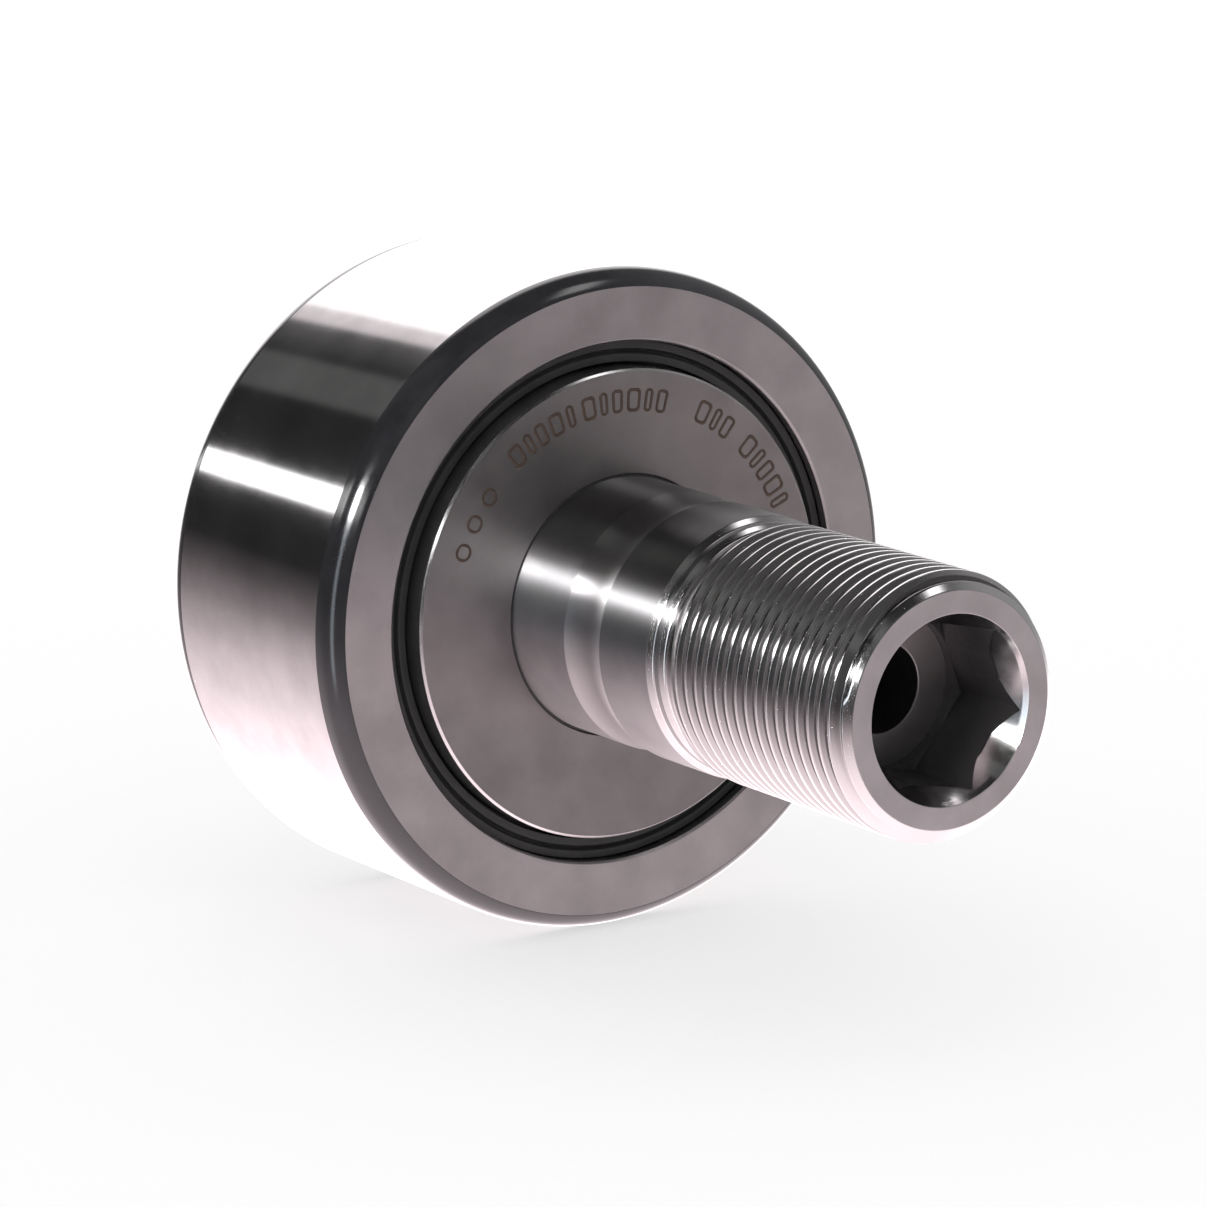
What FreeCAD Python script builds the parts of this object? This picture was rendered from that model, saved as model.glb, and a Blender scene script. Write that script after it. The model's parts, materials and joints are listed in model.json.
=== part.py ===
import FreeCAD, Part
import math
import os
import Sketcher

# Stud-type cam follower, millimetres, +Z up.
# The origin is the centre of the flange washer's outer face, on the axis of rotation.
# The stud points along -Y and its head lies on the +Y side of the outer ring.

doc = FreeCAD.newDocument("cam_follower")
sheet = doc.addObject("Spreadsheet::Sheet", "dims")
X_AXIS, Y_AXIS, ORIGIN = -1, -2, (-1, 1)
START, END, CENTRE = 1, 2, 3
ZERO = 1e-9
LEAST_CUT = 1e-3
DRILL_HALF_ANGLE = math.radians(59)
THREAD_HALF_ANGLE = math.radians(30)


class Size:
    """A number that also carries the sheet formula it comes from."""

    def __init__(self, number, formula):
        self.number = number
        self.formula = formula

    @staticmethod
    def of(value):
        return value if isinstance(value, Size) else Size(float(value), repr(float(value)))

    def join(self, other, sign, number):
        return Size(number, f"({self.formula} {sign} {Size.of(other).formula})")

    def __add__(self, other):
        return self.join(other, "+", self.number + Size.of(other).number)

    def __sub__(self, other):
        return self.join(other, "-", self.number - Size.of(other).number)

    def __mul__(self, other):
        return self.join(other, "*", self.number * Size.of(other).number)

    def __truediv__(self, other):
        return self.join(other, "/", self.number / Size.of(other).number)

    def __neg__(self):
        return self * -1


def driving(alias, number, meaning):
    """Writes one driving dimension to the sheet and returns it as a Size."""
    driving.row += 1
    sheet.set(f"A{driving.row}", meaning)
    sheet.set(f"B{driving.row}", str(number))
    sheet.setAlias(f"B{driving.row}", alias)
    return Size(float(number), f"dims.{alias}")


driving.row = 0

# The catalogue sizes of a 62 mm stud-type follower.
roller_diameter = driving("roller_diameter", 62, "outer ring, running surface")
roller_width = driving("roller_width", 29, "outer ring, face to face")
roller_offset = driving("roller_offset", 0.8, "outer ring's face behind the washer's face")
total_length = driving("total_length", 80, "stud, end to end")
stud_length = driving("stud_length", 49.5, "washer's face to the threaded end")
shank_diameter = driving("shank_diameter", 24, "shank, h7")
thread_length = driving("thread_length", 25, "thread, from the stud's end")
thread_pitch = driving("thread_pitch", 1.5, "thread pitch")
flange_diameter = driving("flange_diameter", 44, "head flange and washer")
socket_flats = driving("socket_flats", 14, "hexagon sockets, across flats")
nipple_hole = driving("nipple_hole", 8, "seat of a drive-fit grease nipple")
oil_hole = driving("oil_hole", 4, "axial and shank oil holes")
oil_groove_place = driving("oil_groove_place", 11, "washer's face to the oil groove's middle")

# The sizes that the catalogue leaves open.
crest_diameter = driving("crest_diameter", 23.86, "thread crests")
root_diameter = driving("root_diameter", 22.16, "thread roots")
root_flat = driving("root_flat", 0.32, "flat at the bottom of the thread")
cutter_diameter = driving("cutter_diameter", 24.1, "outside of the thread cutter's section")
relief_width = driving("relief_width", 2.2, "thread relief, shoulder to shoulder")
relief_diameter = driving("relief_diameter", 22.1, "bottom of the thread relief")
relief_step_width = driving("relief_step_width", 1.2, "step between the relief and the shank")
relief_step_diameter = driving("relief_step_diameter", 23, "step between the relief and the shank")
end_diameter = driving("end_diameter", 21, "flat end inside the stud's end chamfer")
oil_groove_width = driving("oil_groove_width", 5.6, "oil groove, edge to edge")
oil_groove_radius = driving("oil_groove_radius", 6.8, "oil groove's section")
seat_diameter = driving("seat_diameter", 24.6, "press seat of the washer")
seat_undercut = driving("seat_undercut", 0.15, "washer's face to the press seat")
washer_thickness = driving("washer_thickness", 4, "flange washer")
flange_thickness = driving("flange_thickness", 3.9, "head flange")
edge_break = driving("edge_break", 0.35, "chamfer round the flange and washer")
socket_depth = driving("socket_depth", 10, "sockets, to their flat floor")
socket_bore = driving("socket_bore", 14.2, "round bore that the hexagons are broached in")
socket_runout = driving("socket_runout", 1, "end of the hexagon to the floor")
socket_turn = driving("socket_turn", -8.5, "first socket corner, degrees from +X to +Z")
mouth_diameter = driving("mouth_diameter", 16.9, "socket mouth at the end face")
mouth_throat = driving("mouth_throat", 16.3, "inner edge of the mouth's chamfer")
mouth_chamfer = driving("mouth_chamfer", 0.5, "depth of the mouth's chamfer")
mouth_cone = driving("mouth_cone", 2.4, "depth of the mouth's cone")
nipple_depth = driving("nipple_depth", 6, "depth of the nipple holes")
race_hole = driving("race_hole", 3, "oil hole to the needles")
race_hole_place = driving("race_hole_place", 12, "washer's face to the oil hole")
inner_race = driving("inner_race", 32, "inner raceway diameter")
outer_race = driving("outer_race", 40.2, "outer raceway diameter")
needle_diameter = driving("needle_diameter", 4, "needle roller")
needle_play = driving("needle_play", 0.2, "axial play at each end of a needle")
needle_chamfer = driving("needle_chamfer", 0.3, "needle end chamfer")
needle_count = driving("needle_count", 28, "needles in the full set")
recess_diameter = driving("recess_diameter", 48.8, "recess in each side of the outer ring")
recess_depth = driving("recess_depth", 4.4, "depth of that recess")
ring_edge_depth = driving("ring_edge_depth", 1.5, "radial drop of the ring's rounded edge")
ring_edge_width = driving("ring_edge_width", 2.6, "axial width of the ring's rounded edge")
bore_break = driving("bore_break", 0.2, "chamfer at the recess's mouth")
slide_gap = driving("slide_gap", 0.1, "running gap of the sliding rings")
slide_leg = driving("slide_leg", 1, "radial leg of a sliding ring")
slide_inner = driving("slide_inner", 40.8, "bore of a sliding ring")
slide_outer = driving("slide_outer", 48.6, "outside of a sliding ring")
lip_inner = driving("lip_inner", 44.7, "bore of a sliding ring's lip")
lip_height = driving("lip_height", 2.1, "lip above the radial leg")
lip_groove = driving("lip_groove", 0.5, "groove in the lip's face")
nipple_collar = driving("nipple_collar", 9.4, "nipple's collar diameter")
collar_height = driving("collar_height", 1.4, "nipple's collar and funnel")
funnel_diameter = driving("funnel_diameter", 6.2, "mouth of the nipple's funnel")
throat_diameter = driving("throat_diameter", 1.8, "nipple's throat, closed by the ball")
chamber_diameter = driving("chamber_diameter", 4.2, "nipple's spring chamber")
foot_thickness = driving("foot_thickness", 0.9, "floor under the spring")
chamber_depth = driving("chamber_depth", 4.3, "nipple's spring chamber")
seat_cone = driving("seat_cone", 0.9, "depth of the ball's seat")
throat_length = driving("throat_length", 0.3, "nipple's throat, above the seat")
ball_diameter = driving("ball_diameter", 3, "nipple's ball")
ball_drop = driving("ball_drop", 1.3, "throat to the closed ball's centre")
outlet_diameter = driving("outlet_diameter", 2, "hole through the nipple's foot")
spring_wire = driving("spring_wire", 0.35, "nipple spring's wire")
spring_diameter = driving("spring_diameter", 2.8, "nipple spring, wire centre to wire centre")
spring_pitch = driving("spring_pitch", 0.6, "nipple spring's pitch")
spring_drop = driving("spring_drop", 1, "ball's centre to the spring's last turn")

AXIS = Size.of(0)
THREAD_END = -stud_length
HEAD_FACE = total_length - stud_length
HEAD_INSIDE = HEAD_FACE - flange_thickness
RING_NEAR = roller_offset
RING_FAR = roller_offset + roller_width


def bind(target, path, value):
    """Ties a property or constraint to the sheet."""
    target.setExpression(path, value.formula)


def origin_feature(body, role):
    return next(part for part in body.Origin.OriginFeatures if part.Role == role)


def new_body(name):
    body = doc.addObject("PartDesign::Body", name)
    body.Label = name
    return body


def new_sketch(body, name, role, offset=None):
    """An empty sketch on one of the body's own planes, moved along the plane's normal."""
    sketch = body.newObject("Sketcher::SketchObject", f"{body.Name}_{name}")
    sketch.AttachmentSupport = [(origin_feature(body, role), "")]
    sketch.MapMode = "FlatFace"
    if offset is not None:
        bind(sketch, "AttachmentOffset.Base.z", offset)
    return sketch


def hold(sketch, kind, geometry, value):
    """One dimension of a sketch, bound to the sheet."""
    index = sketch.addConstraint(Sketcher.Constraint(kind, *geometry, value.number))
    bind(sketch, f"Constraints[{index}]", value)


def hold_point(sketch, point, x, y):
    """Both coordinates of a sketch point; a zero puts the point on the axis."""
    for kind, value, axis in (("DistanceX", x, Y_AXIS), ("DistanceY", y, X_AXIS)):
        if abs(value.number) < ZERO:
            sketch.addConstraint(Sketcher.Constraint("PointOnObject", *point, axis))
        else:
            hold(sketch, kind, (*ORIGIN, *point), value)


def arc_between(first, last, radius):
    """An arc from first to last; a positive radius bulges to the right of that direction."""
    chord = last - first
    reach = math.sqrt(max(radius ** 2 - (chord.Length / 2) ** 2, 0.0))
    left = FreeCAD.Vector(-chord.y, chord.x, 0).normalize()
    centre = (first + last) / 2 + left * math.copysign(reach, radius)
    angles = [math.atan2(end.y - centre.y, end.x - centre.x) for end in (first, last)]
    if radius < 0:
        angles.reverse()
    circle = Part.Circle(centre, FreeCAD.Vector(0, 0, 1), abs(radius))
    return Part.ArcOfCircle(circle, *angles)


def outline(body, name, corners, role="XY_Plane"):
    """A closed outline of (across, along) corners.

    A third value in a corner is the radius of the arc that leads to it.
    """
    sketch = new_sketch(body, name, role)
    places = [FreeCAD.Vector(Size.of(c[0]).number, Size.of(c[1]).number, 0) for c in corners]
    ends = []
    for index, corner in enumerate(corners):
        before, here = places[index - 1], places[index]
        if len(corner) == 3:
            radius = Size.of(corner[2])
            edge = sketch.addGeometry(arc_between(before, here, radius.number))
            ends.append((edge, START, END) if radius.number > 0 else (edge, END, START))
        else:
            edge = sketch.addGeometry(Part.LineSegment(before, here))
            ends.append((edge, START, END))
    for index, (edge, _, last) in enumerate(ends):
        following = ends[(index + 1) % len(ends)]
        sketch.addConstraint(
            Sketcher.Constraint("Coincident", edge, last, following[0], following[1]))
    for (edge, _, last), corner in zip(ends, corners):
        hold_point(sketch, (edge, last), Size.of(corner[0]), Size.of(corner[1]))
        if len(corner) == 3:
            radius = Size.of(corner[2])
            hold(sketch, "Radius", (edge,), radius if radius.number > 0 else -radius)
    return sketch


def turned(body, name, corners, feature="Revolution"):
    """Turns an outline once round the Y axis, as added or removed material."""
    sketch = outline(body, name, corners)
    turn = body.newObject(f"PartDesign::{feature}", f"{body.Name}_{name}_{feature}")
    turn.Profile = sketch
    turn.ReferenceAxis = (sketch, ["V_Axis"])
    turn.Angle = 360
    doc.recompute()
    return turn


def pocket(body, sketch, depth=None, reverse=False):
    """Cuts a sketch to a depth, or through everything on one side."""
    before = body.Shape.Volume
    cut = body.newObject("PartDesign::Pocket", f"{sketch.Name}_Pocket")
    cut.Profile = sketch
    cut.Reversed = reverse
    if depth is None:
        cut.Type = "ThroughAll"
    else:
        bind(cut, "Length", depth)
    doc.recompute()
    if not body.Shape.Volume < before - LEAST_CUT:
        raise RuntimeError(f"{sketch.Name} cut nothing")


def helix(body, sketch, feature, pitch, height):
    """Sweeps a sketch round the Y axis as a helix."""
    sweep = body.newObject(f"PartDesign::{feature}", f"{sketch.Name}_{feature}")
    sweep.Profile = sketch
    sweep.ReferenceAxis = (sketch, ["V_Axis"])
    sweep.Mode = "pitch-height-angle"
    bind(sweep, "Pitch", pitch)
    bind(sweep, "Height", height)
    doc.recompute()
    return sweep


# Stud: one forging with the head flange, the inner raceway, the shank and the thread.


def stud_outline():
    """Half section of the stud blank, bored and drilled from both ends."""
    thread_start = THREAD_END + thread_length
    shoulder = thread_start + relief_width
    relief_drop = (shank_diameter - relief_diameter) / 2
    step_drop = (shank_diameter - relief_step_diameter) / 2
    end_drop = (crest_diameter - end_diameter) / 2
    drill_point = (nipple_hole - oil_hole) / 2 / math.tan(DRILL_HALF_ANGLE)

    def bored_end(face, inward):
        """Corners from a socket's mouth down to the axial oil hole."""
        floor = face + socket_depth * inward
        seat_floor = floor + nipple_depth * inward
        return [
            (mouth_diameter / 2, face),
            (mouth_throat / 2, face + mouth_chamfer * inward),
            (socket_bore / 2, face + mouth_cone * inward),
            (socket_bore / 2, floor),
            (nipple_hole / 2, floor),
            (nipple_hole / 2, seat_floor),
            (oil_hole / 2, seat_floor + drill_point * inward),
        ]

    outside = [
        (flange_diameter / 2 - edge_break, HEAD_FACE),
        (flange_diameter / 2, HEAD_FACE - edge_break),
        (flange_diameter / 2, HEAD_INSIDE),
        (inner_race / 2, HEAD_INSIDE),
        (inner_race / 2, washer_thickness),
        (seat_diameter / 2, washer_thickness),
        (seat_diameter / 2, seat_undercut),
        (shank_diameter / 2, seat_undercut),
        (shank_diameter / 2, shoulder + relief_step_width),
        (relief_step_diameter / 2, shoulder + relief_step_width - step_drop),
        (relief_step_diameter / 2, shoulder),
        (relief_diameter / 2, shoulder - relief_drop + step_drop),
        (relief_diameter / 2, thread_start + relief_drop),
        (crest_diameter / 2, thread_start),
        (crest_diameter / 2, THREAD_END + end_drop),
        (end_diameter / 2, THREAD_END),
    ]
    return bored_end(THREAD_END, 1) + bored_end(HEAD_FACE, -1)[::-1] + outside


def hexagon(body, name, offset):
    """A hexagon across the Y axis, at a height along the XZ plane's normal."""
    sketch = new_sketch(body, name, "XZ_Plane", offset)
    radius = socket_flats / 2 / math.cos(math.radians(30))
    rim = sketch.addGeometry(
        Part.Circle(FreeCAD.Vector(), FreeCAD.Vector(0, 0, 1), radius.number), True)
    sketch.addConstraint(Sketcher.Constraint("Coincident", rim, CENTRE, *ORIGIN))
    hold(sketch, "Radius", (rim,), radius)
    turns = [math.radians(socket_turn.number + 60 * corner) for corner in range(7)]
    corners = [FreeCAD.Vector(math.cos(a), math.sin(a), 0) * radius.number for a in turns]
    sides = [
        sketch.addGeometry(Part.LineSegment(corners[side], corners[side + 1]))
        for side in range(6)
    ]
    for side in sides:
        following = sides[(side - sides[0] + 1) % 6]
        sketch.addConstraint(Sketcher.Constraint("Coincident", side, END, following, START))
        sketch.addConstraint(Sketcher.Constraint("PointOnObject", side, START, rim))
    for side in sides[1:]:
        sketch.addConstraint(Sketcher.Constraint("Equal", sides[0], side))
    slope = sketch.addConstraint(
        Sketcher.Constraint("Angle", sides[0], math.radians(socket_turn.number + 120)))
    sketch.setExpression(f"Constraints[{slope}]", f"({socket_turn.formula} + 120) * 1deg")
    return sketch


def make_stud():
    body = new_body("stud")
    turned(body, "blank", stud_outline())

    shank, outside = shank_diameter / 2, shank_diameter / 2 + 1
    low = -oil_groove_place - oil_groove_width / 2
    high = -oil_groove_place + oil_groove_width / 2
    turned(body, "oil_groove", [
        (outside, low),
        (outside, high),
        (shank, high),
        (shank, low, -oil_groove_radius),
    ], "Groove")

    depth = socket_depth - socket_runout
    pocket(body, hexagon(body, "thread_socket", stud_length), depth)
    pocket(body, hexagon(body, "head_socket", -HEAD_FACE), depth, reverse=True)

    holes = new_sketch(body, "oil_holes", "YZ_Plane")
    for place, diameter in ((-oil_groove_place, oil_hole), (race_hole_place, race_hole)):
        centre = FreeCAD.Vector(place.number, 0, 0)
        circle = Part.Circle(centre, FreeCAD.Vector(0, 0, 1), diameter.number / 2)
        edge = holes.addGeometry(circle)
        hold_point(holes, (edge, CENTRE), place, AXIS)
        hold(holes, "Diameter", (edge,), diameter)
    pocket(body, holes, reverse=True)

    cut_thread(body)
    return body


def cut_thread(body):
    """The thread is cut by a 60 degree tool that runs out in the relief."""
    before = body.Shape.Volume
    flank = (cutter_diameter - root_diameter) / 2 * math.tan(THREAD_HALF_ANGLE)
    start = THREAD_END - thread_pitch
    run = thread_length + thread_pitch + relief_width / 2
    tool = outline(body, "thread_tool", [
        (root_diameter / 2, start - root_flat / 2),
        (cutter_diameter / 2, start - root_flat / 2 - flank),
        (cutter_diameter / 2, start + root_flat / 2 + flank),
        (root_diameter / 2, start + root_flat / 2),
    ])
    helix(body, tool, "SubtractiveHelix", thread_pitch, run)
    if not body.Shape.Volume < before - LEAST_CUT:
        raise RuntimeError("the thread cut nothing")


# Flange washer: the disc pressed on the stud, which closes the needle space.


def make_washer():
    body = new_body("flange_washer")
    outer, inner = flange_diameter / 2, seat_diameter / 2
    turned(body, "section", [
        (inner, AXIS),
        (outer - edge_break, AXIS),
        (outer, edge_break),
        (outer, washer_thickness - edge_break),
        (outer - edge_break, washer_thickness),
        (inner, washer_thickness),
    ])
    return body


# Outer ring: the roller, with a recess for a sliding ring in each side.


def make_outer_ring():
    body = new_body("outer_ring")
    tread, race, recess = roller_diameter / 2, outer_race / 2, recess_diameter / 2
    drop, width = ring_edge_depth, ring_edge_width
    edge_radius = (drop * drop + width * width) / (drop * 2)
    turned(body, "section", [
        (recess + bore_break, RING_NEAR),
        (tread - drop, RING_NEAR),
        (tread, RING_NEAR + width, edge_radius),
        (tread, RING_FAR - width),
        (tread - drop, RING_FAR, edge_radius),
        (recess + bore_break, RING_FAR),
        (recess, RING_FAR - bore_break),
        (recess, RING_FAR - recess_depth),
        (race, RING_FAR - recess_depth),
        (race, RING_NEAR + recess_depth),
        (recess, RING_NEAR + recess_depth),
        (recess, RING_NEAR + bore_break),
    ])
    return body


# Sliding rings: plastic rings that guide the outer ring sideways and seal the needles.


def make_sliding_ring(name, flange_face, outward):
    """An angle section; outward is -1 on the thread side and 1 on the head side."""
    body = new_body(name)
    leg_face = flange_face - slide_gap * outward
    leg_back = leg_face - slide_leg * outward
    lip_face = leg_face + lip_height * outward
    lip_middle = (lip_inner + slide_outer) / 4
    turned(body, "section", [
        (slide_inner / 2, leg_back),
        (slide_inner / 2, leg_face),
        (lip_inner / 2, leg_face),
        (lip_inner / 2, lip_face),
        (lip_middle - lip_groove / 2, lip_face),
        (lip_middle, lip_face - lip_groove * outward),
        (lip_middle + lip_groove / 2, lip_face),
        (slide_outer / 2, lip_face),
        (slide_outer / 2, leg_back),
    ])
    return body


# Needles: a full set with no cage.


def make_needle(number):
    body = new_body(f"needle_{number + 1:02d}")
    radius = needle_diameter / 2
    low, high = washer_thickness + needle_play, HEAD_INSIDE - needle_play
    turned(body, "section", [
        (AXIS, low),
        (radius - needle_chamfer, low),
        (radius, low + needle_chamfer),
        (radius, high - needle_chamfer),
        (radius - needle_chamfer, high),
        (AXIS, high),
    ])
    pitch_radius = f"({inner_race.formula} + {outer_race.formula}) / 4"
    angle = f"{number} * 360deg / {needle_count.formula}"
    body.setExpression("Placement.Base.x", f"{pitch_radius} * cos({angle})")
    body.setExpression("Placement.Base.z", f"{pitch_radius} * sin({angle})")
    return body


# Grease nipple in the head's socket: a pressed body, a ball and its spring.

COLLAR_BACK = HEAD_FACE - socket_depth
NIPPLE_FOOT = COLLAR_BACK - nipple_depth
CHAMBER_FLOOR = NIPPLE_FOOT + foot_thickness
CHAMBER_TOP = CHAMBER_FLOOR + chamber_depth
BALL_PLACE = CHAMBER_TOP + seat_cone - ball_drop


def make_nipple_body():
    body = new_body("nipple_body")
    throat = CHAMBER_TOP + seat_cone
    turned(body, "section", [
        (outlet_diameter / 2, NIPPLE_FOOT),
        (nipple_hole / 2, NIPPLE_FOOT),
        (nipple_hole / 2, COLLAR_BACK),
        (nipple_collar / 2, COLLAR_BACK),
        (nipple_collar / 2, COLLAR_BACK + collar_height - edge_break),
        (nipple_collar / 2 - edge_break, COLLAR_BACK + collar_height),
        (funnel_diameter / 2, COLLAR_BACK + collar_height),
        (throat_diameter / 2, throat + throat_length),
        (throat_diameter / 2, throat),
        (chamber_diameter / 2, CHAMBER_TOP),
        (chamber_diameter / 2, CHAMBER_FLOOR),
        (outlet_diameter / 2, CHAMBER_FLOOR),
    ])
    return body


def make_nipple_ball():
    body = new_body("nipple_ball")
    ball = body.newObject("PartDesign::AdditiveSphere", "nipple_ball_sphere")
    bind(ball, "Radius", ball_diameter / 2)
    bind(body, "Placement.Base.y", BALL_PLACE)
    return body


def make_nipple_spring():
    body = new_body("nipple_spring")
    half_wire = spring_wire / 2
    start = CHAMBER_FLOOR + half_wire
    height = BALL_PLACE - spring_drop - start
    wire = new_sketch(body, "wire", "XY_Plane")
    centre = FreeCAD.Vector(spring_diameter.number / 2, start.number, 0)
    circle = wire.addGeometry(Part.Circle(centre, FreeCAD.Vector(0, 0, 1), half_wire.number))
    hold_point(wire, (circle, CENTRE), spring_diameter / 2, start)
    hold(wire, "Radius", (circle,), half_wire)
    helix(body, wire, "AdditiveHelix", spring_pitch, height)
    return body


def make_parts():
    parts = [
        make_stud(),
        make_washer(),
        make_outer_ring(),
        make_sliding_ring("thread_side_sliding_ring", washer_thickness, -1),
        make_sliding_ring("head_side_sliding_ring", HEAD_INSIDE, 1),
        make_nipple_body(),
        make_nipple_ball(),
        make_nipple_spring(),
    ]
    parts += [make_needle(number) for number in range(int(needle_count.number))]
    return parts


def check(parts):
    """Stops before anything is written if a feature failed or a shape is unsound."""
    doc.recompute()
    for item in doc.Objects:
        if "Invalid" in item.State or "Error" in item.State:
            raise RuntimeError(f"{item.Name} failed: {item.State}")
    for body in parts:
        shape = body.Shape
        if shape.isNull() or not shape.isValid() or len(shape.Solids) != 1:
            raise RuntimeError(f"{body.Label} is not one sound solid")


parts = make_parts()
check(parts)
os.makedirs("parts", exist_ok=True)
for body in parts:
    body.Shape.exportStep(f"parts/{body.Label}.step")
    box = body.Shape.BoundBox
    print(f"{body.Label:26s} {body.Shape.Volume:10.1f} mm3  "
          f"y {box.YMin:7.2f} .. {box.YMax:7.2f}  faces {len(body.Shape.Faces)}")
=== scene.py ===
import json
import math

import bmesh
import bpy
import numpy as np
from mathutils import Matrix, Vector


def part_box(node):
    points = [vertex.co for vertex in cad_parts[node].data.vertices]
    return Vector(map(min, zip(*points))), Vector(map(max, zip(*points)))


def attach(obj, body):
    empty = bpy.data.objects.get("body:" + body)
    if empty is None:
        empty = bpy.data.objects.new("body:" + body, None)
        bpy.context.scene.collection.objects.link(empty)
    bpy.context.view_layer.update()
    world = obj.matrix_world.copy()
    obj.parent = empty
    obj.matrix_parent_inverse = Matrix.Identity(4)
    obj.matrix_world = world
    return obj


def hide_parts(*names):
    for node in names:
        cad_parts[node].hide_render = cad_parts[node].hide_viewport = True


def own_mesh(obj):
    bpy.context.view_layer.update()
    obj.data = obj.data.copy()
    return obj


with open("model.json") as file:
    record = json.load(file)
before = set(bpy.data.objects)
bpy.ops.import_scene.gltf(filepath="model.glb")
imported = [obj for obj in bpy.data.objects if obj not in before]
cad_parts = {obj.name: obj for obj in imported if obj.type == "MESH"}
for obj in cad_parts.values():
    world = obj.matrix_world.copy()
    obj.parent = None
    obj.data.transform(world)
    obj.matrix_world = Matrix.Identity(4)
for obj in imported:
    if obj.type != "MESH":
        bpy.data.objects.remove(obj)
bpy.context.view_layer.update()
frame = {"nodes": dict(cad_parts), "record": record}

# A stud-type cam follower. Smooth lathe-like meshes stand for the turned CAD nodes; the needles
# and the nipple's ball stay as CAD nodes. Metres, with lengths written in MM.

MM = 0.001
FULL_TURN = 2 * math.pi

# Sizes that the frame gives.
record = frame["record"]
mounts = {mount["name"]: mount for mount in record["mounts"]}
openings = {opening["name"]: opening for opening in record["physics"]["openings"]}
END_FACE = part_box("stud")[0].y
HEAD_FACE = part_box("stud")[1].y
FLANGE_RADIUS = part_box("stud")[1].x
WASHER_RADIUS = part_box("flange_washer")[1].x
WASHER_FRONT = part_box("flange_washer")[0].y
WASHER_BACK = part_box("flange_washer")[1].y
TREAD_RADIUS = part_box("outer_ring")[1].x
RING_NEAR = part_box("outer_ring")[0].y
RING_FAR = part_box("outer_ring")[1].y
SHANK_RADIUS = mounts["shank"]["dims"]["r_mm"] * MM
CREST_RADIUS = mounts["clamp_thread"]["dims"]["r_mm"] * MM
THREAD_LENGTH = mounts["clamp_thread"]["dims"]["length_mm"] * MM
NIPPLE_RADIUS = mounts["thread_end_nipple_seat"]["dims"]["r_mm"] * MM
NIPPLE_DEPTH = mounts["thread_end_nipple_seat"]["dims"]["length_mm"] * MM
SOCKET_FLOOR = max(corner[1] for corner in openings["thread_end_socket"]["box_m"])

# Sizes of the stud that the frame doesn't give.
PITCH = 1.5 * MM
FLANK_ANGLE = math.radians(30)
ROOT_RADIUS = 11.1 * MM
ROOT_FLAT = 0.24 * MM
THREAD_ROUND = 0.045 * MM
END_CHAMFER = 0.12 * MM
RELIEF_LEAD = 0.1 * MM
RELIEF_WIDTH = 2.2 * MM
RELIEF_RADIUS = 11.05 * MM
STEP_WIDTH = 1.2 * MM
STEP_RADIUS = 11.5 * MM
END_RADIUS = 10.5 * MM
GROOVE_PLACE = -11 * MM
GROOVE_HALF = 2.8 * MM
GROOVE_ARC = 6.8 * MM
GROOVE_RISE = math.sqrt(GROOVE_ARC ** 2 - GROOVE_HALF ** 2)
OIL_HOLE_RADIUS = 2 * MM
DRILL_POINT = math.radians(59)
SEAT_RADIUS = 12.3 * MM
SEAT_UNDERCUT = 0.15 * MM
RACE_RADIUS = 16 * MM
FLANGE_INSIDE = HEAD_FACE - 3.9 * MM
EDGE_BREAK = 0.35 * MM
RIM_BREAK = 0.22 * MM
SOCKET_DEPTH = SOCKET_FLOOR - END_FACE
SOCKET_HALF = 7 * MM
SOCKET_BORE = 7.1 * MM
SOCKET_RUNOUT = 1 * MM
SOCKET_TURN = math.radians(-8.5)
MOUTH_RADIUS = 8.45 * MM
THROAT_RADIUS = 8.15 * MM
MOUTH_CHAMFER = 0.5 * MM
MOUTH_CONE = 2.4 * MM

# Sizes of the outer ring and the sliding rings.
RECESS_RADIUS = 24.4 * MM
RECESS_DEPTH = 4.4 * MM
RECESS_CHAMFER = 0.2 * MM
RACEWAY_RADIUS = 20.1 * MM
EDGE_DROP = 1.5 * MM
EDGE_WIDTH = 2.6 * MM
LIP_RADIUS = 22.35 * MM
LIP_GROOVE = 0.5 * MM
LEG_THICKNESS = 1 * MM
LEG_OVERLAP = 1.6 * MM

# How finely the meshes are cut, and the distance of a close pair of rows.
COLUMNS = 192
ROUNDING_STEPS = 3
ARC_STEPS = 16
GROOVE_STEPS = 14
FINE = 0.03 * MM
MERGE_DISTANCE = 0.0005 * MM
DISSOLVE_DISTANCE = 0.0001 * MM
ANGLES = SOCKET_TURN + np.arange(COLUMNS) * FULL_TURN / COLUMNS


# Meshes: rows of points along an outline, turned round the Y axis.


class Corner:
    """A corner of an outline: its place, how far its rounding reaches and the finish after it."""

    def __init__(self, radius, height, reach, finish):
        self.place = np.stack(np.broadcast_arrays(radius, height, ANGLES)[:2], -1)
        self.reach = reach
        self.finish = finish


def outline_rows(corners):
    """The rows of an outline and each row's finish. A close pair of rows keeps flats flat."""
    rows, finishes = [], []
    for index, corner in enumerate(corners):
        here = corner.place
        if not corner.reach:
            rows.append(here)
            finishes.append(corner.finish)
            continue
        sides = []
        for other in (corners[index - 1], corners[(index + 1) % len(corners)]):
            away = other.place - here
            sides.append(away / np.linalg.norm(away, axis=-1, keepdims=True))
        start, end = (here + side * corner.reach for side in sides)
        rows.append(start + sides[0] * FINE)
        finishes.append(corners[index - 1].finish)
        for step in range(ROUNDING_STEPS + 1):
            t = step / ROUNDING_STEPS
            rows.append(start * (1 - t) ** 2 + here * 2 * t * (1 - t) + end * t ** 2)
            finishes.append(corner.finish)
        rows.append(end + sides[1] * FINE)
        finishes.append(corner.finish)
    return rows, finishes


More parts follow.
